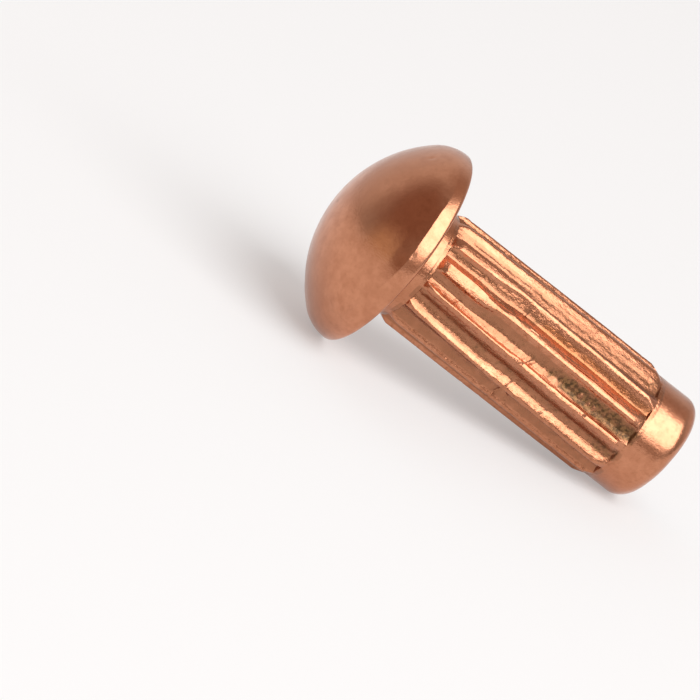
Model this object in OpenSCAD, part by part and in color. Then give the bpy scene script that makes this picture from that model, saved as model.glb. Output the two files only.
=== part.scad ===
// Copper rivet with a domed head, a straight-knurled shank and a plain pilot end.
// The pilot end is drilled with a short blind hole, whose thin wall is rolled over when it is set.
// One solid piece, cold-headed from wire. It lies on its side, as it comes to rest on a table:
// the head's rim and the end of the shank touch the surface, and the shank points along +X.

/* [Head] */
// Diameter across the rim of the head
head_d = 5.45; // [5:0.05:6.2]
// Height of the dome above the seat
head_h = 1.88; // [1.7:0.02:2.1]
// Radius of the dome's shoulder, where it turns down to the rim
shoulder_r = 1; // [0.7:0.05:1.2]
// Radius of the edge between the rim and the seat
rim_edge_r = 0.1; // [0.06:0.01:0.16]
// Fillet between the seat and the neck
neck_fillet_r = 0.14; // [0.12:0.01:0.2]

/* [Shank] */
// Length from the seat to the end of the shank
shank_len = 8.15; // [7:0.05:12]
// Diameter of the plain neck and of the plain pilot
shank_d = 2.92; // [2.85:0.01:3]
// Length of the plain neck under the head
neck_len = 0.65; // [0.5:0.05:1]
// Length of the plain pilot at the end
pilot_len = 1.17; // [0.9:0.01:1.5]
// Radius of the pilot's outer edge
pilot_edge_r = 0.4; // [0.3:0.01:0.42]

/* [Knurl] */
// Number of ridges round the shank
ridge_count = 14; // [12:1:15]
// Diameter across the crests of the ridges
crest_d = 3.15; // [3.08:0.01:3.25]
// Diameter at the floors of the valleys
root_d = 2.71; // [2.64:0.01:2.78]
// Width of the land along a crest
crest_w = 0.08; // [0.05:0.01:0.12]
// Length over which a crest slopes down to the plain shank at each end
run_out = 0.34; // [0.2:0.01:0.4]
// How far the crests run on past the ends of the valleys
overrun = 0.03; // [0.02:0.01:0.1]

/* [Hole] */
// Diameter of the blind hole
hole_d = 1.9; // [1.7:0.02:2]
// Depth of the hole's straight wall
hole_wall = 2.6; // [2:0.1:3]
// Included angle of the cone at the bottom of the hole
hole_cone = 120; // [90:5:150]
// Broken edge at the mouth of the hole
hole_edge = 0.04; // [0.02:0.01:0.06]

/* [Hidden] */
$fn = 96;

// Distance by which a cutting shape reaches past the surface that it cuts
past = 0.5;
// Depth by which a shape is set into the one that carries it
seat_in = 0.02;
// Depth of the band under the knurl below the valleys' floors
band_below = 0.1;

head_r = head_d / 2;
shank_r = shank_d / 2;
crest_r = crest_d / 2;
root_r = root_d / 2;
hole_r = hole_d / 2;

// The dome is a crown arc centred on the axis, and a shoulder arc that is upright where it meets the
// rim's edge radius. The crown is smaller than the radius at which the arcs are tangent, by so little
// that they cross at about 3 degrees instead, a few microns away.
arc_bite = 0.006;
dome_h = head_h - rim_edge_r;
shoulder_x = head_r - shoulder_r;
tangent_r = (pow(shoulder_x, 2) + pow(dome_h, 2) - pow(shoulder_r, 2)) / (2 * (dome_h - shoulder_r));
crown_r = tangent_r - arc_bite;
crown_z = head_h - crown_r;
// Angle above the horizontal at which the two arcs meet
join_angle = atan2(rim_edge_r - crown_z, shoulder_x);

knurl_start = neck_len;
knurl_end = shank_len - pilot_len;
ridge_start = knurl_start - overrun;
ridge_end = knurl_end + overrun;
// The land on a crest lies between the two slopes at its ends
land_start = ridge_start + run_out;
land_end = ridge_end - run_out;
ridge_pitch = 360 / ridge_count;

// Each valley is a round trough. Its circle passes through the floor and through the edges of the
// lands on both sides, which lie at this height and at this distance from the valley's middle plane.
edge_angle = ridge_pitch / 2 - asin(crest_w / 2 / crest_r);
edge_height = crest_r * cos(edge_angle);
edge_side = crest_r * sin(edge_angle);
edge_rise = edge_height - root_r;
trough_r = (pow(edge_rise, 2) + pow(edge_side, 2)) / (2 * edge_rise);

// The lean is the angle at which the axis dips towards the end when the rivet lies on its side.
// The surface touches the rim's edge, and either the pilot's edge or the ends of two crests' lands,
// whichever is reached first.
edge_x = head_r - rim_edge_r;
function tangent_lean(along, out, radius) =
    let (run = along + rim_edge_r, rise = edge_x - out)
    atan2(rise, run) - asin((radius - rim_edge_r) / norm([run, rise]));
lean_on_pilot = tangent_lean(shank_len - pilot_edge_r, shank_r - pilot_edge_r, pilot_edge_r);
lean_on_crests = tangent_lean(land_end, edge_height, 0);
lean = min(lean_on_pilot, lean_on_crests);

// The centre of the seat, placed so that the origin is under the middle of the rivet's box
seat_z = rim_edge_r + edge_x * cos(lean) - rim_edge_r * sin(lean);
head_reach = crown_r + crown_z * cos(lean);
tail_reach = (shank_len - pilot_edge_r) * cos(lean) + (shank_r - pilot_edge_r) * sin(lean) + pilot_edge_r;
seat_x = (head_reach - tail_reach) / 2;

// Half of the head's section: the axis is Y, and the seat lies on X
module head_profile() {
    // Below the shoulder: the rim with its rounded lower edge
    square([edge_x, rim_edge_r]);
    translate([edge_x, rim_edge_r])
        intersection() {
            circle(r = rim_edge_r);
            translate([0, -rim_edge_r])
                square(rim_edge_r);
        }
    // The crown bounds the shoulder's disc and what lies on the axis side of the line between centres
    far = 2 * head_r;
    intersection() {
        translate([0, crown_z])
            circle(r = crown_r);
        union() {
            polygon([
                [0, rim_edge_r],
                [shoulder_x, rim_edge_r],
                [shoulder_x + far * cos(join_angle), rim_edge_r + far * sin(join_angle)],
                [0, rim_edge_r + far * sin(join_angle)]
            ]);
            translate([shoulder_x, rim_edge_r])
                intersection() {
                    circle(r = shoulder_r);
                    translate([-shoulder_r, 0])
                        square([2 * shoulder_r, shoulder_r]);
                }
        }
    }
}

// Half of the plain shank's section, from the seat downwards
module shank_profile() {
    difference() {
        union() {
            translate([0, -shank_len])
                square([shank_r - pilot_edge_r, shank_len + seat_in]);
            translate([0, pilot_edge_r - shank_len])
                square([shank_r, shank_len - pilot_edge_r + seat_in]);
            translate([shank_r - pilot_edge_r, pilot_edge_r - shank_len])
                circle(r = pilot_edge_r);
        }
        valley_band();
    }
}

// The band that the ridges replace, a little deeper than the valleys. Its ends are rounded, and their
// outer part forms the steep walls at both ends of each valley.
module valley_band() {
    depth = shank_r - root_r + band_below;
    translate([shank_r - depth, depth - knurl_end])
        square([depth + past, knurl_end - knurl_start - 2 * depth]);
    for (end = [-knurl_start - depth, depth - knurl_end])
        translate([shank_r, end])
            circle(r = depth);
}

module neck_fillet() {
    rotate_extrude()
        difference() {
            translate([shank_r - seat_in, -neck_fillet_r])
                square([neck_fillet_r + seat_in, neck_fillet_r + seat_in]);
            translate([shank_r + neck_fillet_r, -neck_fillet_r])
                circle(r = neck_fillet_r);
        }
}

// The section of the knurl, a little taller than its crests. One trough points along -X, which faces
// down when the rivet lies on its side.
module knurl_section() {
    difference() {
        circle(r = crest_r + seat_in);
        for (i = [0 : ridge_count - 1])
            rotate(180 + i * ridge_pitch)
                translate([root_r + trough_r, 0])
                    circle(r = trough_r);
    }
}

// The ridges, cut to a common crest diameter with a slope down to the plain shank at each end. The
// slopes go on to a small depth under the plain surface.
module ridges() {
    low_r = shank_r - seat_in;
    buried = seat_in * run_out / (crest_r - shank_r);
    intersection() {
        rotate_extrude()
            polygon([
                [0, -ridge_end - buried],
                [low_r, -ridge_end - buried],
                [crest_r, -land_end],
                [crest_r, -land_start],
                [low_r, buried - ridge_start],
                [0, buried - ridge_start]
            ]);
        translate([0, 0, -ridge_end - buried])
            linear_extrude(ridge_end - ridge_start + 2 * buried)
                knurl_section();
    }
}

module blind_hole() {
    cone_h = hole_r / tan(hole_cone / 2);
    translate([0, 0, -shank_len - past])
        cylinder(r = hole_r, h = hole_wall + past);
    translate([0, 0, hole_wall - shank_len])
        cylinder(r1 = hole_r, r2 = 0, h = cone_h);
    translate([0, 0, -shank_len - hole_edge])
        cylinder(r1 = hole_r + 2 * hole_edge, r2 = hole_r, h = 2 * hole_edge);
}

// The rivet upright, with the centre of its seat at the origin and its end pointing down
module upright_rivet() {
    difference() {
        union() {
            rotate_extrude()
                head_profile();
            rotate_extrude()
                shank_profile();
            neck_fillet();
            ridges();
        }
        blind_hole();
    }
}

module rivet() {
    color("#b9744c")
        translate([seat_x, 0, seat_z])
            rotate([0, lean - 90, 0])
                upright_rivet();
}

rivet();
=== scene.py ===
import math

import bpy
import numpy as np
from mathutils import Matrix, Vector


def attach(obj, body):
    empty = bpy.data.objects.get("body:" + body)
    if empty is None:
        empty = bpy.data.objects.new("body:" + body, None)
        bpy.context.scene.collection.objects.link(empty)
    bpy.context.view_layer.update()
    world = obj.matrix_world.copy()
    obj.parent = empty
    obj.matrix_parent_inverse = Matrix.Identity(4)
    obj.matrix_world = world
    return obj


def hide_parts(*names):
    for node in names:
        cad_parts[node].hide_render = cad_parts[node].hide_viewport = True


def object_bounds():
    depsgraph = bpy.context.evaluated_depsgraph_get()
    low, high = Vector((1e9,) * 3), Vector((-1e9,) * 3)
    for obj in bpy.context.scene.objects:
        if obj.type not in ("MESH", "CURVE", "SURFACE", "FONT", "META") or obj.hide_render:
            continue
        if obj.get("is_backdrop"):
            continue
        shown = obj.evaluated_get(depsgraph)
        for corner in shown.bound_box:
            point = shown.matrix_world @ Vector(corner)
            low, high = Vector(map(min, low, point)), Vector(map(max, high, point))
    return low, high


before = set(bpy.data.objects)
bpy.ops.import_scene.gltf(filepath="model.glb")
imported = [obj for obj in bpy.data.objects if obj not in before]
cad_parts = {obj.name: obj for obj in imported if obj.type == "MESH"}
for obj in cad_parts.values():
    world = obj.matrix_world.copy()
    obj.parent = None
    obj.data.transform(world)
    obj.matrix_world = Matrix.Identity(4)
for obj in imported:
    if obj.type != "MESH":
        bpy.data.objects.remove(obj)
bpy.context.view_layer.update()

MM = 0.001

# ---------------------------------------------------------------- dimensions of the solid, in mm
HEAD_R, HEAD_H, SHOULDER_R, RIM_EDGE_R, FILLET_R = 2.725, 1.88, 1.0, 0.1, 0.14
SHANK_LEN, SHANK_R, NECK_LEN, PILOT_LEN, PILOT_EDGE_R = 8.15, 1.46, 0.65, 1.17, 0.4
RIDGES, CREST_R, ROOT_R, CREST_W = 14, 1.575, 1.355, 0.08
RUN_OUT, OVERRUN = 0.34, 0.03
HOLE_R, HOLE_WALL, HOLE_CONE_DEG, HOLE_EDGE = 0.95, 2.6, 120.0, 0.04
# The crown's radius is less than the one at which it is tangent to the shoulder, by this much
ARC_BITE = 0.006

DOME_H = HEAD_H - RIM_EDGE_R
SHOULDER_X = HEAD_R - SHOULDER_R
CROWN_R = (SHOULDER_X**2 + DOME_H**2 - SHOULDER_R**2) / (2 * (DOME_H - SHOULDER_R)) - ARC_BITE
CROWN_Z = HEAD_H - CROWN_R
# Where the crown meets the shoulder, as an angle from the direction against the axis
JOIN = math.pi / 2 - math.atan2(RIM_EDGE_R - CROWN_Z, SHOULDER_X)
EDGE_X = HEAD_R - RIM_EDGE_R
KNURL_START, KNURL_END = NECK_LEN, SHANK_LEN - PILOT_LEN
RIDGE_START, RIDGE_END = KNURL_START - OVERRUN, KNURL_END + OVERRUN
PITCH = 2 * math.pi / RIDGES

# The angle at which the axis dips when the rim's edge and the pilot's edge both touch the floor
EDGES_RUN = SHANK_LEN - PILOT_EDGE_R + RIM_EDGE_R
EDGES_RISE = EDGE_X - (SHANK_R - PILOT_EDGE_R)
LEAN = (math.atan2(EDGES_RISE, EDGES_RUN)
        - math.asin((PILOT_EDGE_R - RIM_EDGE_R) / math.hypot(EDGES_RUN, EDGES_RISE)))
HEAD_REACH = CROWN_R + CROWN_Z * math.cos(LEAN)
TAIL_REACH = ((SHANK_LEN - PILOT_EDGE_R) * math.cos(LEAN) + (SHANK_R - PILOT_EDGE_R) * math.sin(LEAN)
              + PILOT_EDGE_R)
SEAT = np.array([(HEAD_REACH - TAIL_REACH) / 2, 0,
                 RIM_EDGE_R + EDGE_X * math.cos(LEAN) - RIM_EDGE_R * math.sin(LEAN)])
AXIS = np.array([math.cos(LEAN), 0, -math.sin(LEAN)])
UP = np.array([math.sin(LEAN), 0, math.cos(LEAN)])
SIDE = np.array([0, 1.0, 0])
# Angles round the shank are measured from the line that faces the camera most; this one points up.
UP_DEG = 74.3


# ---------------------------------------------------------------- smooth random values
def noise(u, v, seed, period_v=None):
    """Smooth values from -1 to 1 over whole steps of u and v. v repeats after period_v steps."""
    cells = 509
    table = np.random.default_rng(seed).uniform(-1, 1, (cells, period_v or cells))
    iu, iv = np.floor(u).astype(int), np.floor(v).astype(int)
    fu, fv = u - iu, v - iv
    fu, fv = fu * fu * (3 - 2 * fu), fv * fv * (3 - 2 * fv)
    w = table.shape[1]
    a, b = table[iu % cells, iv % w], table[iu % cells, (iv + 1) % w]
    c, d = table[(iu + 1) % cells, iv % w], table[(iu + 1) % cells, (iv + 1) % w]
    return (a * (1 - fv) + b * fv) * (1 - fu) + (c * (1 - fv) + d * fv) * fu


def smooth(x, low, high):
    """0 up to low, 1 from high on, and a smooth step between them."""
    t = np.clip((x - low) / (high - low), 0, 1)
    return t * t * (3 - 2 * t)


# ---------------------------------------------------------------- rings along the surface, head to hole
# A ring has a distance from the seat along the axis, a radius, and a normal along the axis and outwards.
def arc(centre_along, centre_r, arc_r, angles):
    """Rings on an arc. Angles are from the direction against the axis, towards the outside."""
    return np.stack([centre_along - arc_r * np.cos(angles), centre_r + arc_r * np.sin(angles),
                     -np.cos(angles), np.sin(angles)], 1)


def straight(start, end, number, normal):
    """Rings on a straight line, without its first point."""
    t = np.linspace(0, 1, number + 1)[1:, None]
    line = np.array(start) + t * (np.array(end) - np.array(start))
    return np.hstack([line, np.tile(normal, (number, 1))])


def quarter_turn(number):
    return np.linspace(0, math.pi / 2, number)[1:]


NECK_TO = 0.53
KNURL_FROM, KNURL_TO = 0.56, 7.05
# The rings are closer together at the knurl's two ends
stations = np.concatenate([
    np.linspace(KNURL_FROM, 0.74, 14),
    np.linspace(0.74, 1.02, 9)[1:],
    np.linspace(1.02, 6.66, 158)[1:],
    np.linspace(6.66, 6.88, 8)[1:],
    np.linspace(6.88, KNURL_TO, 16)[1:],
])
# The shoulder's rings are closer together where one side of it is creased
shoulder_share = np.concatenate([np.linspace(0, 0.5, 9)[1:], [0.53, 0.546, 0.558, 0.575],
                                 np.linspace(0.62, 1, 8)])
t_fillet, t_corner = quarter_turn(7), quarter_turn(13)
hole_end = SHANK_LEN - HOLE_WALL
half_cone = math.radians(HOLE_CONE_DEG / 2)
cone_end = hole_end - HOLE_R / math.tan(half_cone)
BEVEL = 0.707

sections = {
    "crown": arc(-CROWN_Z, 0, CROWN_R, np.linspace(0, JOIN, 44)[1:]),
    "shoulder": arc(-RIM_EDGE_R, SHOULDER_X, SHOULDER_R, JOIN + (math.pi / 2 - JOIN) * shoulder_share),
    "rim": arc(-RIM_EDGE_R, EDGE_X, RIM_EDGE_R, np.linspace(math.pi / 2, math.pi, 7)[1:]),
    "seat": straight((0, EDGE_X), (0, SHANK_R + FILLET_R), 5, (1, 0)),
    "fillet": np.stack([FILLET_R * (1 - np.cos(t_fillet)), SHANK_R + FILLET_R * (1 - np.sin(t_fillet)),
                        np.cos(t_fillet), np.sin(t_fillet)], 1),
    "neck": straight((FILLET_R, SHANK_R), (NECK_TO, SHANK_R), 6, (0, 1)),
    "knurl": np.stack([stations, np.full_like(stations, SHANK_R), 0 * stations, 1 + 0 * stations], 1),
    "pilot": straight((KNURL_TO, SHANK_R), (SHANK_LEN - PILOT_EDGE_R, SHANK_R), 11, (0, 1)),
    "corner": np.stack([SHANK_LEN - PILOT_EDGE_R + PILOT_EDGE_R * np.sin(t_corner),
                        SHANK_R - PILOT_EDGE_R + PILOT_EDGE_R * np.cos(t_corner),
                        np.sin(t_corner), np.cos(t_corner)], 1),
    "face": straight((SHANK_LEN, SHANK_R - PILOT_EDGE_R), (SHANK_LEN, HOLE_R + HOLE_EDGE), 2, (1, 0)),
    "mouth": straight((SHANK_LEN, HOLE_R + HOLE_EDGE), (SHANK_LEN - HOLE_EDGE, HOLE_R), 2, (BEVEL, -BEVEL)),
    "bore": straight((SHANK_LEN - HOLE_EDGE, HOLE_R), (hole_end, HOLE_R), 10, (0, -1)),
    "cone": straight((hole_end, HOLE_R), (cone_end, 0), 6, (math.sin(half_cone), -math.cos(half_cone)))[:-1],
}
rings = np.vstack(list(sections.values()))
starts = np.cumsum([0] + [len(section) for section in sections.values()])
part_of = {name: slice(starts[i], starts[i + 1]) for i, name in enumerate(sections)}
along, radius, n_along, n_out = rings.T
count = len(rings)

# ---------------------------------------------------------------- the knurl's ridges
# Where each ridge lies, in degrees off its even place, near the head, at mid-length and near the end.
DRIFT = np.array([
    (3.0, 0.0, -2.5), (3.4, 0.4, -2.8), (4.6, -2.4, -5.2), (4.6, 0.3, -2.0), (3.4, 0.6, -2.2),
    (3.6, 2.2, -1.6), (3.4, 5.8, 8.4), (3.0, 6.4, 8.0), (2.0, 4.0, 5.0), (3.0, 2.0, 2.0),
    (2.0, 0.0, -1.0), (4.0, 1.0, -2.0), (3.0, 2.0, -1.0), (4.0, 1.0, -3.0),
])
DRIFT_AT = (0.95, 3.9, 6.7)
ridge = np.arange(RIDGES)
# The rings' distances from the seat, one row each, to set against a column for each ridge
A = along[:, None]
even = math.radians(UP_DEG - 180) + PITCH * (ridge + 0.5)
# One curve through the three places of each ridge
x0, x1, x2 = DRIFT_AT
curve = [(A - x1) * (A - x2) / ((x0 - x1) * (x0 - x2)), (A - x0) * (A - x2) / ((x1 - x0) * (x1 - x2)),
         (A - x0) * (A - x1) / ((x2 - x0) * (x2 - x1))]
drift = sum(share * DRIFT[:, i] for i, share in enumerate(curve))
wander = 0.3 * noise(A / 0.9, ridge * 7.0 + 0.5, 11) + 0.22 * noise(A / 0.28, ridge * 5.0 + 0.5, 12)
centre = even + np.radians(drift + wander)

# Crests are worn unevenly and have small chips
crest = CREST_R - 0.006 + 0.008 * noise(A / 1.3, ridge * 3.0 + 0.5, 13)
crest = crest - np.clip(noise(A / 0.09, ridge * 9.0 + 0.5, 14) - 0.45, 0, 1) * 0.03
land = CREST_W / 2 * (1 + 0.3 * noise(A / 0.8, ridge * 4.0 + 0.5, 16)
                      + 0.2 * noise(A / 0.25, ridge * 4.0 + 0.5, 17))
# Half-widths of the lands, on the sides of the lower and of the higher angles
land_low, land_high = land.copy(), land.copy()
# Four ridges are broad in places: side, ridge, extra width, and where it fades out or in
BROAD_AT_FIRST = [
    (land_low, 4, 0.13, 1.8, 2.7), (land_high, 4, 0.07, 1.6, 2.4), (land_low, 5, 0.11, 1.9, 2.8),
    (land_high, 5, 0.05, 1.9, 2.8), (land_high, 5, 0.04, 2.6, 3.4),
]
BROAD_FURTHER_ON = [
    (land_high, 4, 0.06, 2.4, 3.2), (land_high, 6, 0.03, 3.6, 4.6), (land_high, 3, 0.035, 3.0, 3.9),
]
for side, number, extra, start, stop in BROAD_AT_FIRST:
    side[:, number] += extra * (1 - smooth(along, start, stop))
for side, number, extra, start, stop in BROAD_FURTHER_ON:
    side[:, number] += extra * smooth(along, start, stop)

# Each valley is a round trough between the edges of two crests. It has the number of the lower one.
nxt = np.roll(centre, -1, 1) + np.where(ridge == RIDGES - 1, 2 * math.pi, 0)
left = centre + land_high / CREST_R
right = nxt - np.roll(land_low, -1, 1) / CREST_R
middle = (left + right) / 2
half = (right - left) / 2
# Valleys that are narrower than this are a little shallower
EVEN_HALF = math.radians(11.4)
floor = ROOT_R + 0.1 * (EVEN_HALF - half) + 0.008 * noise(A / 1.0, ridge * 3.0 + 0.5, 20)
# Two troughs are shallower, one along a part of its length and one along all of it
floor[:, 3] += 0.035 * (1 - smooth(along, 4.4, 5.6))
floor[:, 4] += 0.03
edge_rise = CREST_R * np.cos(half) - floor
trough = (edge_rise**2 + (CREST_R * np.sin(half))**2) / (2 * edge_rise)
axle = floor + trough

# Both ends: the crests slope down to the plain shank, and steep walls close the valleys
EARLY = np.array([0, 0.02, 0.05, 0.07, 0.03, 0.0, 0.12, 0.1, 0.04, 0, 0.06, 0.03, 0.08, 0.02])
LATE_WALL = np.array([0.03, 0.04, 0.09, 0.05, 0.02, 0.05, 0.04, 0.03, 0.05, 0.04, 0.03, 0.06, 0.04, 0.03])
HEAD_RUN_OUT = RUN_OUT * 0.8
early = EARLY * 0.5


def slope(x):
    """A slope from 0 to 1 that is steepest where it starts."""
    x = np.clip(x, 0, 1)
    return x * (1.45 - 0.45 * x)


top = SHANK_R + (CREST_R - SHANK_R) * np.minimum(
    slope((A - RIDGE_START) / HEAD_RUN_OUT), slope((RIDGE_END - early - A) / (RUN_OUT - early)))
top = np.minimum(top, np.maximum(crest, SHANK_R))
next_top = np.roll(top, -1, 1)


def reach_of(height):
    """The angle from the middle of a valley at which its trough comes up to a height."""
    return np.arccos(np.clip((axle**2 + height**2 - trough**2) / (2 * axle * height), -1, 1))


# Twenty columns a pitch: four on the crest and sixteen in the valley, closer together up its flanks
LAND_SHARE = np.array([0, 0.25, 0.75, 1])
LAND_DROP = np.array([0.01, 0, 0, 0.01])
ON_LAND, IN_VALLEY = 4, 16
PER_PITCH = ON_LAND + IN_VALLEY
CROWDING = np.radians(62.5)
spread = np.sin(CROWDING * np.linspace(-1, 1, IN_VALLEY + 2)[1:-1]) / np.sin(CROWDING)

reach_left, reach_right = reach_of(top), reach_of(next_top)
edge_high = middle - reach_left
edge_low = np.roll(middle + reach_right, 1, 1) - np.where(ridge == 0, 2 * math.pi, 0)
# Some valleys are deepest off their middle, by these angles in degrees
SKEW = np.radians([0.5, 1.0, -0.6, -2.2, -0.8, -1.0, -1.0, 0, 0.8, -0.6, 0.4, -1.0, 0.7, 0])
skew = SKEW * (0.6 + 0.4 * smooth(A, 1.5, 3.5)) * smooth(RIDGE_END - A, 0, 0.5)
# Some flanks are straight: those that rise to the ridge before the valley, and long ones that rise to
# the ridge after it. The knee is where the flank starts, as a share of the valley's half width.
straight_flank = np.zeros((count, RIDGES))
straight_flank[:, 2] = smooth(along, 2.9, 4.0)
straight_flank[:, 3] = 0.4
straight_flank[:, 4] = 0.4 + 0.6 * smooth(along, 1.8, 3.3)
KNEE = np.full(RIDGES, 0.42)
KNEE[[2, 3, 4]] = 0.43, 0.15, 0.05
long_flank = np.zeros((count, RIDGES))
long_flank[:, 2] = 0.8
long_flank[:, 4] = straight_flank[:, 4]
long_flank[:, 5] = 1
# Above 1, a long flank is hollow instead of straight
LONG_CURVE = np.ones(RIDGES)
LONG_CURVE[[4, 5]] = 1.5, 1.8
LONG_KNEE = np.zeros(RIDGES)
LONG_KNEE[[2, 5]] = 0.1, -0.5
# Two crests are bevelled on their higher side for a part of their length: the land's last two columns
BEVEL_WIDTH, BEVEL_DROP = 0.4, 0.045
bevel = np.zeros((count, RIDGES))
bevel[:, 3] = smooth(along, 3.0, 3.9)
bevel[:, 4] = 0.6 * smooth(along, 2.4, 3.2)
# The steep walls: their depth, and where they start and end, from the end of the valley
WALL_DEPTH, WALL_FROM, WALL_TO = 0.2, -0.012, 0.06

angle = np.zeros((count, RIDGES, PER_PITCH))
height = np.zeros((count, RIDGES, PER_PITCH))
depth = np.zeros((count, RIDGES, PER_PITCH))
raised = np.clip((top - SHANK_R) / (CREST_R - SHANK_R), 0, 1)
for i, (share, drop) in enumerate(zip(LAND_SHARE, LAND_DROP)):
    if i == 2:
        share = share - BEVEL_WIDTH * bevel
    if i == 3:
        drop = drop + BEVEL_DROP * bevel
    angle[:, :, i] = edge_low + (edge_high - edge_low) * share
    height[:, :, i] = top - drop * raised
for i, share in enumerate(spread):
    off = np.where(share < 0, reach_left, reach_right) * share
    rough = (0.004 * noise(A / 0.13, ridge * 5.0 + i * 0.35 + A / 0.3, 30)
             + 0.0025 * noise(A / 0.06, ridge * 5.0 + i * 0.6, 31))
    arc_height = axle * np.cos(off) - np.sqrt(np.maximum(trough**2 - (axle * np.sin(off))**2, 0))
    if share < 0:
        straight_height = floor + (top - floor) * (np.maximum(abs(share) - KNEE, 0) / (1 - KNEE))
        arc_height += straight_flank * (straight_height - arc_height)
    long_rise = (np.maximum(share - LONG_KNEE, 0) / (1 - LONG_KNEE))**LONG_CURVE
    long_height = floor + (next_top - floor) * long_rise
    arc_height += long_flank * smooth(share - LONG_KNEE, -0.1, 0.1) * (long_height - arc_height)
    streaks = (0.005 * noise(A / 1.6 + 30, ridge * 11.0 + i * 0.62, 32)
               + 0.003 * noise(A / 0.5, ridge * 13.0 + i * 0.9, 33))
    rough = rough + streaks
    uneven = 0.012 * noise(ridge * 6.0 + i * 0.3, A * 0 + 0.5, 34)
    from_end = np.minimum(A - KNURL_START + uneven, (KNURL_END - A + uneven) * 0.055 / (0.04 + LATE_WALL))
    wall = SHANK_R - WALL_DEPTH * smooth(from_end, WALL_FROM, WALL_TO)
    angle[:, :, ON_LAND + i] = middle + off + skew * (1 - share**2)
    height[:, :, ON_LAND + i] = np.maximum(arc_height + rough * smooth(from_end, 0, WALL_TO), wall)
    depth[:, :, ON_LAND + i] = 1 - share**2
angle = angle.reshape(count, -1)
height = height.reshape(count, -1)
depth = depth.reshape(count, -1)

# Away from the knurl the columns are evenly spaced, and the surface is the plain one
columns = RIDGES * PER_PITCH
even_angle = even[0] + PITCH * (np.arange(columns) - 1.5) / PER_PITCH
blend = smooth(along, 0.16, NECK_TO) * (1 - smooth(along, KNURL_TO, 7.6))
blend[: part_of["fillet"].stop] = 0
blend[part_of["corner"].start:] = 0
angle = angle * blend[:, None] + even_angle * (1 - blend[:, None])
in_knurl = np.zeros(count, bool)
in_knurl[part_of["knurl"]] = True
r = np.where(in_knurl[:, None], height, radius[:, None])
depth = np.where(in_knurl[:, None], depth * np.clip((SHANK_R + 0.02 - r) / 0.04, 0, 1), 0)
a = np.tile(along[:, None], (1, columns))

# ---------------------------------------------------------------- the head's creased shoulder
# On the side that faces the camera the crown runs on to a crease, with an upright band below it
CREASE_SHARE = 0.552
CREASE_R = 2.712
CREASE_DEG = (-60, -32, -18, -5, 10, 28, 40, 75)
CREASE_HEIGHT = (0.56, 0.526, 0.452, 0.405, 0.42, 0.395, 0.34, 0.3)
RUN_ON, BAND_BULGE = 0.185, 0.016
rows = part_of["shoulder"]
head_deg = np.degrees((angle[rows] + math.pi) % (2 * math.pi) - math.pi)
crease = (np.interp(head_deg, CREASE_DEG, CREASE_HEIGHT)
          + 0.008 * noise(head_deg / 4 + 100, head_deg * 0 + 0.5, 44))
join_a, join_r = -RIM_EDGE_R - SHOULDER_R * math.cos(JOIN), SHOULDER_X + SHOULDER_R * math.sin(JOIN)
knee_a = join_a + RUN_ON * math.sin(JOIN)
knee_r = join_r + RUN_ON * math.cos(JOIN)
s = shoulder_share[:, None] / CREASE_SHARE
over_a = join_a * (1 - s)**2 + 2 * knee_a * s * (1 - s) - crease * s**2
over_r = join_r * (1 - s)**2 + 2 * knee_r * s * (1 - s) + CREASE_R * s**2
s = (shoulder_share[:, None] - CREASE_SHARE) / (1 - CREASE_SHARE)
band_a = -crease + (crease - RIM_EDGE_R) * s
band_r = CREASE_R + (HEAD_R - CREASE_R) * s + BAND_BULGE * s * (1 - s)
on_band = shoulder_share[:, None] > CREASE_SHARE
share = smooth(head_deg, -62, -34) * (1 - smooth(head_deg, 40, 74))
a[rows] += share * (np.where(on_band, band_a, over_a) - a[rows])
r[rows] += share * (np.where(on_band, band_r, over_r) - r[rows])

# ---------------------------------------------------------------- dents, wear and the uneven end
turns = angle / (2 * math.pi)
push = np.zeros_like(r)
head = slice(0, part_of["rim"].stop)
across = radius[:, None] + 0 * angle
x = across * np.cos(angle)
y = across * np.sin(angle)
push_head = (0.005 * noise(x / 0.9 + 20, y / 0.9 + 20, 40)
             + 0.0012 * noise(x / 0.3 + 40, y / 0.3 + 40, 41))
push[head] = push_head[head]
# Dents: distance from the seat, angle in degrees, radius and depth in mm
DENTS = [
    (-0.963, 69, 0.05, 0.02), (-1.35, 20, 0.25, 0.006), (-1.6, 200, 0.3, 0.008), (-0.8, 300, 0.2, 0.01),
    (-0.5, 140, 0.22, 0.008), (-1.2, 250, 0.16, 0.008), (-0.9, 100, 0.12, 0.006),
    (-0.656, 23, 0.035, 0.014), (-0.553, 26, 0.03, 0.012), (-0.414, 33, 0.04, 0.01), (-0.367, 1, 0.05, 0.012),
]
for place, degrees, size, deep in DENTS:
    j = int(np.argmin(np.abs(along[head] - place)))
    cx, cy = radius[j] * math.cos(math.radians(degrees)), radius[j] * math.sin(math.radians(degrees))
    dist2 = (x - cx)**2 + (y - cy)**2 + (a - along[j])**2
    dent = deep * np.exp(-dist2 / size**2)
    push[head] -= dent[head]
shank = slice(part_of["neck"].start, part_of["corner"].stop)
push_shank = (0.003 * noise(a / 0.6, turns * 12, 42, 12) + 0.002 * noise(a / 0.15, turns * 40, 43, 40))
push[shank] += push_shank[shank] * (1 - in_knurl[shank])[:, None]
a = a + push * n_along[:, None]
r = r + push * n_out[:, None]

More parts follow.
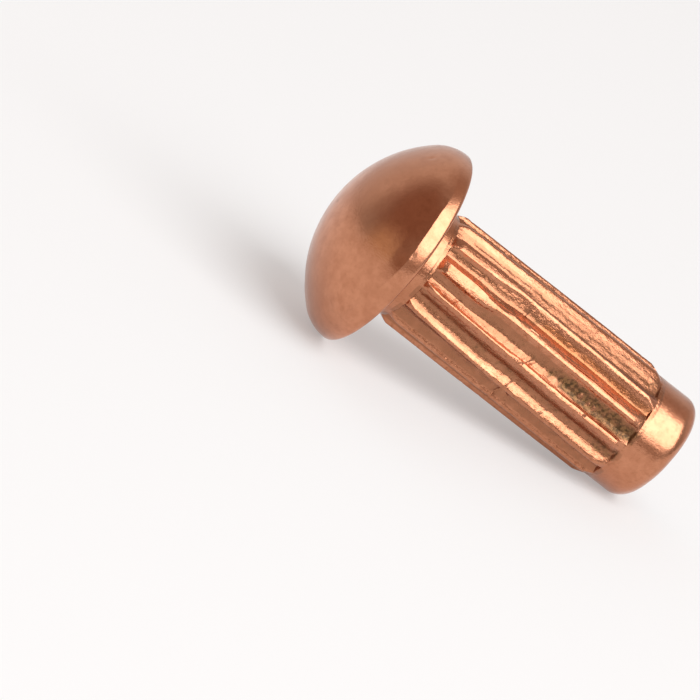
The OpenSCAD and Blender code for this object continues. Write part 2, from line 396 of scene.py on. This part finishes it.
# Specks that stand up in the knurl: distance from the seat, angle in degrees, radius and height in mm
SPECKS = [
    (5.34, -4, 0.07, 0.06), (5.62, -6, 0.06, 0.03), (5.78, -6, 0.065, 0.05), (4.22, -7, 0.06, 0.02),
    (4.61, -8, 0.05, 0.015), (0.78, -20, 0.05, 0.02), (3.44, -63, 0.04, 0.035), (4.17, -63, 0.04, 0.03),
    (4.46, -62, 0.045, 0.035), (4.72, -64, 0.04, 0.035), (4.95, -62, 0.04, 0.03), (6.75, -67, 0.045, 0.035),
    (2.4, -58, 0.03, 0.012), (5.5, -60, 0.03, 0.012), (3.3, 130, 0.05, 0.02), (5.1, 190, 0.05, 0.02),
]
# Nicks and scratches: two ends as distance and angle in degrees, half-width and depth in mm
NICKS = [
    (3.76, -67, 3.91, -53, 0.032, 0.05), (3.91, -53, 4.2, -63, 0.03, 0.04),
    (1.42, -9, 1.56, -2, 0.03, 0.02), (1.74, -9, 1.86, -3, 0.025, 0.012), (2.38, -9, 2.48, -3, 0.02, 0.008),
    (3.05, -10, 3.17, -4, 0.025, 0.014), (3.4, -10, 3.5, -4, 0.022, 0.012), (3.6, -11, 3.7, -5, 0.025, 0.014),
    (3.8, -11, 3.95, -4, 0.035, 0.035), (4.0, -11, 4.1, -5, 0.025, 0.014),
    (3.5, -43, 3.68, -34, 0.035, 0.015),
    (3.82, -43, 3.99, -33, 0.04, 0.032), (4.93, -43, 5.1, -34, 0.04, 0.015), (1.6, 21, 1.7, 29, 0.03, 0.014),
    (3.03, 20, 3.1, 30, 0.035, 0.025), (1.95, 44, 2.0, 52, 0.025, 0.012), (2.3, 44, 2.35, 52, 0.025, 0.014),
    (1.1, 96, 1.5, 110, 0.03, 0.02), (4.3, 150, 4.6, 160, 0.03, 0.02), (2.6, 205, 2.9, 215, 0.03, 0.02),
    (3.3, 56, 6.7, 55.5, 0.022, 0.02), (0.9, 52, 3.0, 53, 0.02, 0.014), (1.0, 18, 3.1, 18, 0.018, 0.012),
    (1.2, 57, 3.4, 57.5, 0.024, 0.024), (0.9, -9.5, 4.2, -11.5, 0.016, 0.012),
    (5.0, -110, 5.5, -100, 0.03, 0.015), (6.2, -62, 6.5, -50, 0.03, 0.01), (5.6, -64, 5.9, -52, 0.03, 0.008),
]
ARC_R = 1.45


def round_from(degrees):
    """The distance round the knurl from a line at an angle, in mm."""
    return ARC_R * ((angle - math.radians(degrees) + math.pi) % (2 * math.pi) - math.pi)


lift = np.zeros_like(r)
clear = np.zeros_like(r)
for place, degrees, size, high in SPECKS:
    bump = np.exp(-((a - place)**2 + round_from(degrees)**2) / size**2)
    lift += high * bump
    clear = np.maximum(clear, bump)
for a0, deg0, a1, deg1, size, deep in NICKS:
    way = round_from(deg0)
    run, rise = a1 - a0, ARC_R * math.radians(deg1 - deg0)
    part = np.clip(((a - a0) * run + way * rise) / (run**2 + rise**2), 0, 1)
    gap2 = (a - a0 - part * run)**2 + (way - part * rise)**2
    lift -= deep * np.exp(-gap2 / size**2)
r = r + lift * in_knurl[:, None]
# The end face is a little out of square
END_MORE, END_TILT, END_TURN = 0.03, 0.085, 0.1
end = smooth(along, 7.1, 7.7)[:, None]
end[: part_of["pilot"].start] = 0
end[part_of["bore"].start:] = 0
a = a + end * (END_MORE + END_TILT * r / SHANK_R * np.sin(angle - END_TURN))

# ---------------------------------------------------------------- the mesh
psi = angle - math.radians(UP_DEG)
points = (SEAT + a[..., None] * AXIS
          + (r * np.cos(psi))[..., None] * UP + (r * np.sin(psi))[..., None] * SIDE).reshape(-1, 3)
pole = SEAT - HEAD_H * AXIS
apex = SEAT + cone_end * AXIS
points = np.vstack([points, pole, apex]) * MM
# The faces go round so that their normals point out of the copper
j, i = np.meshgrid(np.arange(count - 1), np.arange(columns), indexing="ij")
k = (i + 1) % columns
quads = np.stack([j * columns + i, (j + 1) * columns + i,
                  (j + 1) * columns + k, j * columns + k], -1).reshape(-1, 4)
i = np.arange(columns)
k = (i + 1) % columns
last = (count - 1) * columns
fans = np.vstack([np.stack([np.full_like(i, len(points) - 2), i, k], 1),
                  np.stack([last + k, last + i, np.full_like(i, len(points) - 1)], 1)])
mesh = bpy.data.meshes.new("copper_rivet")
mesh.from_pydata(points.tolist(), [], quads.tolist() + fans.tolist())
mesh.validate()
mesh.polygons.foreach_set("use_smooth", [True] * len(mesh.polygons))
mesh.set_sharp_from_angle(angle=math.radians(50))


def attribute(name, values):
    layer = mesh.attributes.new(name, "FLOAT", "POINT")
    layer.data.foreach_set("value", np.concatenate([values.ravel(), [0, 0]]).astype(np.float32))


# How deep a point lies in a valley, from 0 to 1, less on flanks that are worn bright, without tarnish
valley_no = np.repeat(ridge, PER_PITCH)[None, :]
worn_side = np.tile(np.arange(PER_PITCH), RIDGES)[None, :] < ON_LAND + IN_VALLEY // 2
worn = 0.8 * (valley_no == 2) * worn_side * smooth(a, 2.2, 3.4)
worn = worn + 0.6 * (valley_no == 4) * worn_side + 0.4 * (valley_no == 3) * worn_side
attribute("valley", depth * (1 - worn))


def near(place):
    return np.exp(-((a - place) / 0.2)**2)


# How dark and dull the valleys get, partly from dirt and partly from painted shade: a share of the depth, the
# valleys that have it, and where along them
dirt_and_shade = 0.12 * depth
dirt_and_shade = dirt_and_shade + np.sqrt(depth) * 0.8 * (valley_no == 3) * smooth(a, 3.9, 5.0)
for share, valleys, where in [
    # The first two entries are painted shade: over most of the length of valleys 3 and 2 they deepen the dark
    # reflection there
    (0.25, 3, smooth(a, 1.0, 2.5)), (0.3, 2, smooth(a, 1.0, 2.0)), (0.3, 2, smooth(a, 5.9, 6.6)),
    (0.55, 4, near(3.38)), (0.35, 4, smooth(a, 6.1, 6.8)), (0.5, 5, smooth(a, 6.2, 6.9)),
    (0.35, 5, near(4.8)), (0.4, (0, 8, 10, 12), smooth(a, 2.5, 4.5)),
]:
    dirt_and_shade = dirt_and_shade + depth * share * np.isin(valley_no, valleys) * where
attribute("dirt_and_shade", np.clip(dirt_and_shade * (1 - clear), 0, 1))
# An amber stain in one valley, from mid-length on
stain = depth * (valley_no == 4) * smooth(a, 3.3, 4.1) * (1 - 0.6 * smooth(a, 5.6, 6.6))
attribute("amber", np.clip(stain * 2.2, 0, 1))
# The head, the neck and the pilot are smoother than the knurl
plain_share = np.zeros_like(a)
plain_share[: part_of["rim"].stop] = 1
plain_share[part_of["neck"]] = 0.7
plain_share[part_of["pilot"].start: part_of["face"].stop] = 0.75
attribute("plain", plain_share)

rivet = bpy.data.objects.new("copper_rivet", mesh)
bpy.context.scene.collection.objects.link(rivet)
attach(rivet, "root")
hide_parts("rivet")


# ---------------------------------------------------------------- the copper
class Nodes:
    """Adds nodes to a tree and joins them."""

    def __init__(self, tree):
        self.tree = tree
        tree.nodes.clear()

    def add(self, kind, inputs=None, **settings):
        node = self.tree.nodes.new(kind)
        for name, value in settings.items():
            setattr(node, name, value)
        for name, value in (inputs or {}).items():
            socket = node.inputs[name]
            if isinstance(value, bpy.types.NodeSocket):
                self.tree.links.new(value, socket)
            else:
                socket.default_value = value
        return node

    def attribute(self, name):
        return self.add("ShaderNodeAttribute", attribute_name=name).outputs["Fac"]

    def math(self, operation, *values, clamp=False):
        node = self.add("ShaderNodeMath", dict(enumerate(values)), operation=operation, use_clamp=clamp)
        return node.outputs[0]

    def plus(self, *values, clamp=False):
        return self.math("ADD", *values, clamp=clamp)

    def times(self, *values):
        return self.math("MULTIPLY", *values)

    def minus(self, *values):
        return self.math("SUBTRACT", *values)

    def dot(self, one, two):
        return self.add("ShaderNodeVectorMath", {0: one, 1: two}, operation="DOT_PRODUCT").outputs["Value"]

    def ramp(self, value, low, high, to_low=0.0, to_high=1.0):
        """A smooth step from to_low to to_high, while the value goes from low to high."""
        node = self.add("ShaderNodeMapRange", {0: value, 1: low, 2: high, 3: to_low, 4: to_high},
                        interpolation_type="SMOOTHSTEP")
        return node.outputs[0]

    def mix(self, share, one, two):
        node = self.add("ShaderNodeMix", {0: share, 6: one, 7: two}, data_type="RGBA")
        return node.outputs[2]

    def noise(self, vector, scale, detail=3.0, roughness=0.6):
        return self.add("ShaderNodeTexNoise", {"Vector": vector, "Scale": scale, "Detail": detail,
                                               "Roughness": roughness}).outputs["Fac"]


LIGHT_COPPER, DEEP_COPPER = (0.60, 0.258, 0.143, 1), (0.50, 0.202, 0.106, 1)
BLOTCHED, MOTTLED = (0.51, 0.205, 0.108, 1), (0.40, 0.15, 0.07, 1)
TARNISHED, AMBER = (0.36, 0.148, 0.075, 1), (0.42, 0.145, 0.055, 1)
# The soil colours paint dirt, and painted shade in two valleys
DARK_SOIL_AND_SHADE, LIGHT_SOIL_AND_SHADE = (0.085, 0.043, 0.014, 1), (0.26, 0.13, 0.05, 1)

copper = bpy.data.materials.new("copper")
copper.use_nodes = True
n = Nodes(copper.node_tree)
place = n.add("ShaderNodeTexCoord").outputs["Object"]
# In millimetres, with X along the shank
local = n.add("ShaderNodeMapping", {"Vector": place, "Rotation": (0, -LEAN, 0),
                                    "Scale": (1000, 1000, 1000)}).outputs[0]
drawn = n.add("ShaderNodeMapping", {"Vector": local, "Scale": (0.12, 1, 1)}).outputs[0]
valley, dirt_and_shade_mask, plain, amber = (n.attribute(name) for name in ("valley", "dirt_and_shade", "plain", "amber"))
# Coordinates that run slantwise across the near side of the shank, drawn out along the slant
OUTWARDS, ACROSS = (0, -0.963, 0.27), (0, 0.27, 0.963)
DRAW_OUT = 0.14
slanted = n.add("ShaderNodeCombineXYZ", {
    "X": n.dot(local, (DRAW_OUT, DRAW_OUT * ACROSS[1], DRAW_OUT * ACROSS[2])),
    "Y": n.dot(local, (0.8, -0.6 * ACROSS[1], -0.6 * ACROSS[2])),
    "Z": n.dot(local, OUTWARDS),
}).outputs[0]
# The scale is about how many features there are in a millimetre
cloud = n.noise(local, 0.7, roughness=0.5)
blotch = n.noise(local, 3.2, 4.0)
specks = n.noise(local, 6.0, roughness=0.65)
mottle = n.noise(local, 9.0)
fine = n.noise(local, 11.0, 2.0, 0.5)
grain = n.noise(local, 22.0)
lines = n.noise(drawn, 16.0)
hatch = n.noise(slanted, 7.0)

clean = n.mix(n.ramp(cloud, 0.35, 0.65), LIGHT_COPPER, DEEP_COPPER)
clean = n.mix(n.ramp(blotch, 0.35, 0.75), clean, BLOTCHED)
clean = n.mix(n.times(n.ramp(mottle, 0.45, 0.75), n.minus(1.0, n.times(plain, 0.7))), clean, MOTTLED)
tarnish = n.times(n.ramp(valley, 0.0, 0.25), n.ramp(blotch, 0.25, 0.6, 0.55, 0.95))
base = n.mix(tarnish, clean, TARNISHED)
base = n.mix(n.times(amber, n.ramp(blotch, 0.35, 0.6, 0.3, 0.8)), base, AMBER)
marks = n.plus(n.times(n.minus(specks, 0.5), 1.2), n.times(n.minus(hatch, 0.5), 1.2))
# Grime is dirt and, in two valleys, painted shade; it darkens, dulls and roughens the copper
grime_and_shade = n.times(n.ramp(n.plus(dirt_and_shade_mask, marks), 0.25, 1.25), n.ramp(dirt_and_shade_mask, 0.02, 0.2))
soil_and_shade = n.mix(n.ramp(fine, 0.42, 0.6), DARK_SOIL_AND_SHADE, LIGHT_SOIL_AND_SHADE)
base = n.mix(grime_and_shade, base, soil_and_shade)
rough = n.plus(n.ramp(blotch, 0.3, 0.7, 0.19, 0.24), n.times(n.minus(lines, 0.5), 0.08))
rough = n.plus(rough, n.times(valley, 0.05))
rough = n.plus(rough, n.times(grime_and_shade, 0.3), clamp=True)
drawn_relief = n.times(lines, n.minus(0.6, n.times(plain, 0.55)))
pebbles = n.times(mottle, n.minus(1.6, n.times(plain, 1.45)))
relief = n.plus(n.plus(n.times(grain, 0.3), pebbles), drawn_relief)
relief = n.plus(relief, n.times(hatch, n.times(valley, 0.9)))
bumps = n.add("ShaderNodeBump", {"Height": relief, "Strength": 0.45, "Distance": 0.00002}).outputs[0]
shader = n.add("ShaderNodeBsdfPrincipled", {
    "Base Color": base, "Roughness": rough,
    "Metallic": n.minus(1.0, n.times(grime_and_shade, 0.15)), "Normal": bumps,
    "Coat Weight": 0.2, "Coat Roughness": 0.25, "Coat IOR": 1.45,
})
n.add("ShaderNodeOutputMaterial", {"Surface": shader.outputs[0]})
mesh.materials.append(copper)

# ---------------------------------------------------------------- camera, at the photograph's viewing angle
# The rivet's axis and its upward line as the camera sees them: X right, Y up, Z towards the camera
SEEN_AXIS = Vector((0.7585, -0.5926, -0.2713)).normalized()
SEEN_UP = Vector((0.5221, 0.7984, 0.3002)).normalized()
PX_PER_MM = 42.44
SEAT_AT_PX = (398.6, 248.5)
FRAME_PX = 700
DISTANCE = 300.0
SENSOR = 36.0

seen_x = (SEEN_AXIS + math.sin(LEAN) * SEEN_UP).normalized()
seen_y = SEEN_UP.cross(seen_x).normalized()
turn = Matrix((seen_x, seen_y, seen_x.cross(seen_y)))
camera = bpy.data.objects.new("camera", bpy.data.cameras.new("camera"))
bpy.context.scene.collection.objects.link(camera)
camera.data.sensor_width = SENSOR
camera.data.lens = SENSOR * DISTANCE / (FRAME_PX / PX_PER_MM)
camera.data.clip_start, camera.data.clip_end = 0.01, 5
aim = Vector(((FRAME_PX / 2 - SEAT_AT_PX[0]) / PX_PER_MM,
              (SEAT_AT_PX[1] - FRAME_PX / 2) / PX_PER_MM, DISTANCE))
camera.matrix_world = Matrix.Translation((Vector(SEAT) + turn @ aim) * MM) @ turn.to_4x4()
bpy.context.scene.camera = camera

# ---------------------------------------------------------------- floor
FLOOR_HALF = 1.2
FLOOR_COLOUR = (0.565, 0.57, 0.575, 1)
FLOOR_GLOW = 0.34
floor_mesh = bpy.data.meshes.new("floor")
floor_mesh.from_pydata([(-FLOOR_HALF, -FLOOR_HALF, 0), (FLOOR_HALF, -FLOOR_HALF, 0),
                        (FLOOR_HALF, FLOOR_HALF, 0), (-FLOOR_HALF, FLOOR_HALF, 0)], [], [(0, 1, 2, 3)])
floor_piece = bpy.data.objects.new("floor", floor_mesh)
bpy.context.scene.collection.objects.link(floor_piece)
floor_piece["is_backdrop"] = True
paper = bpy.data.materials.new("floor")
paper.use_nodes = True
n = Nodes(paper.node_tree)
# The floor looks white to the camera, and in what mirrors it or lets it through, and keeps its shadow
path = n.add("ShaderNodeLightPath").outputs
seen_or_mirrored = n.math("MAXIMUM", path["Is Camera Ray"], path["Is Glossy Ray"])
glow = n.times(n.math("MAXIMUM", seen_or_mirrored, path["Is Transmission Ray"]), FLOOR_GLOW)
shader = n.add("ShaderNodeBsdfDiffuse", {"Color": FLOOR_COLOUR})
light = n.add("ShaderNodeEmission", {"Color": (1, 1, 1, 1), "Strength": glow})
both = n.add("ShaderNodeAddShader", {0: shader.outputs[0], 1: light.outputs[0]})
n.add("ShaderNodeOutputMaterial", {"Surface": both.outputs[0]})
floor_mesh.materials.append(paper)


# ---------------------------------------------------------------- soft studio light
def polar(from_camera, azimuth):
    """A direction so many degrees away from the camera's, at an azimuth from 0, right, to 90, up."""
    t, p = math.radians(from_camera), math.radians(azimuth)
    return (turn @ Vector((math.sin(t) * math.cos(p), math.sin(t) * math.sin(p), math.cos(t)))).normalized()


def lamp(name, direction, size_x, size_y, radiance, distance):
    """A soft box that faces the rivet, of a plain radiance. Its sizes and distance are in mm."""
    data = bpy.data.lights.new(name, "AREA")
    data.shape = "RECTANGLE"
    data.size, data.size_y = size_x * MM, size_y * MM
    data.energy = radiance * math.pi * (size_x * MM) * (size_y * MM)
    piece = bpy.data.objects.new(name, data)
    bpy.context.scene.collection.objects.link(piece)
    piece.location = (Vector((0, 0, 2.2)) + direction * distance) * MM
    piece.rotation_mode = "QUATERNION"
    piece.rotation_quaternion = direction.to_track_quat("Z", "Y")


# A soft box, and a larger and dimmer one close behind it, which softens its edge
LAMP_FROM = polar(49.5, 14.5)
lamp("softbox", LAMP_FROM, 270, 290, 2.9, 300.0)
lamp("softbox_rim", LAMP_FROM, 350, 370, 0.7, 302.0)

world = bpy.data.worlds.new("studio")
bpy.context.scene.world = world
world.use_nodes = True
n = Nodes(world.node_tree)
direction = n.add("ShaderNodeTexCoord").outputs["Generated"]
sky = (0.42, 0.405, 0.40, 1)
# Lighter, darker and warmer parts of the room: direction, inner and outer radius in degrees, colour
for towards, inner, outer, colour in [
    (polar(125, 90), 20, 60, (0.82, 0.81, 0.80)),
    (polar(62, 105), 18, 44, (0.33, 0.21, 0.16)),
    (polar(32, 190), 10, 40, (0.38, 0.25, 0.18)),
    (polar(95, 50), 8, 30, (0.52, 0.42, 0.37)),
    (polar(130, 0), 14, 36, (0.68, 0.6, 0.57)),
    (polar(30, 312), 3, 14, (0.34, 0.24, 0.19)),
    (polar(64, 152), 4, 22, (0.76, 0.66, 0.5)),
]:
    spot = n.ramp(n.dot(direction, towards), math.cos(math.radians(outer)), math.cos(math.radians(inner)))
    sky = n.mix(spot, sky, (*colour, 1))
background = n.add("ShaderNodeBackground", {"Color": sky, "Strength": 1.0})
n.add("ShaderNodeOutputWorld", {"Surface": background.outputs[0]})

bpy.context.scene.view_settings.view_transform = "Standard"

low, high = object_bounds()
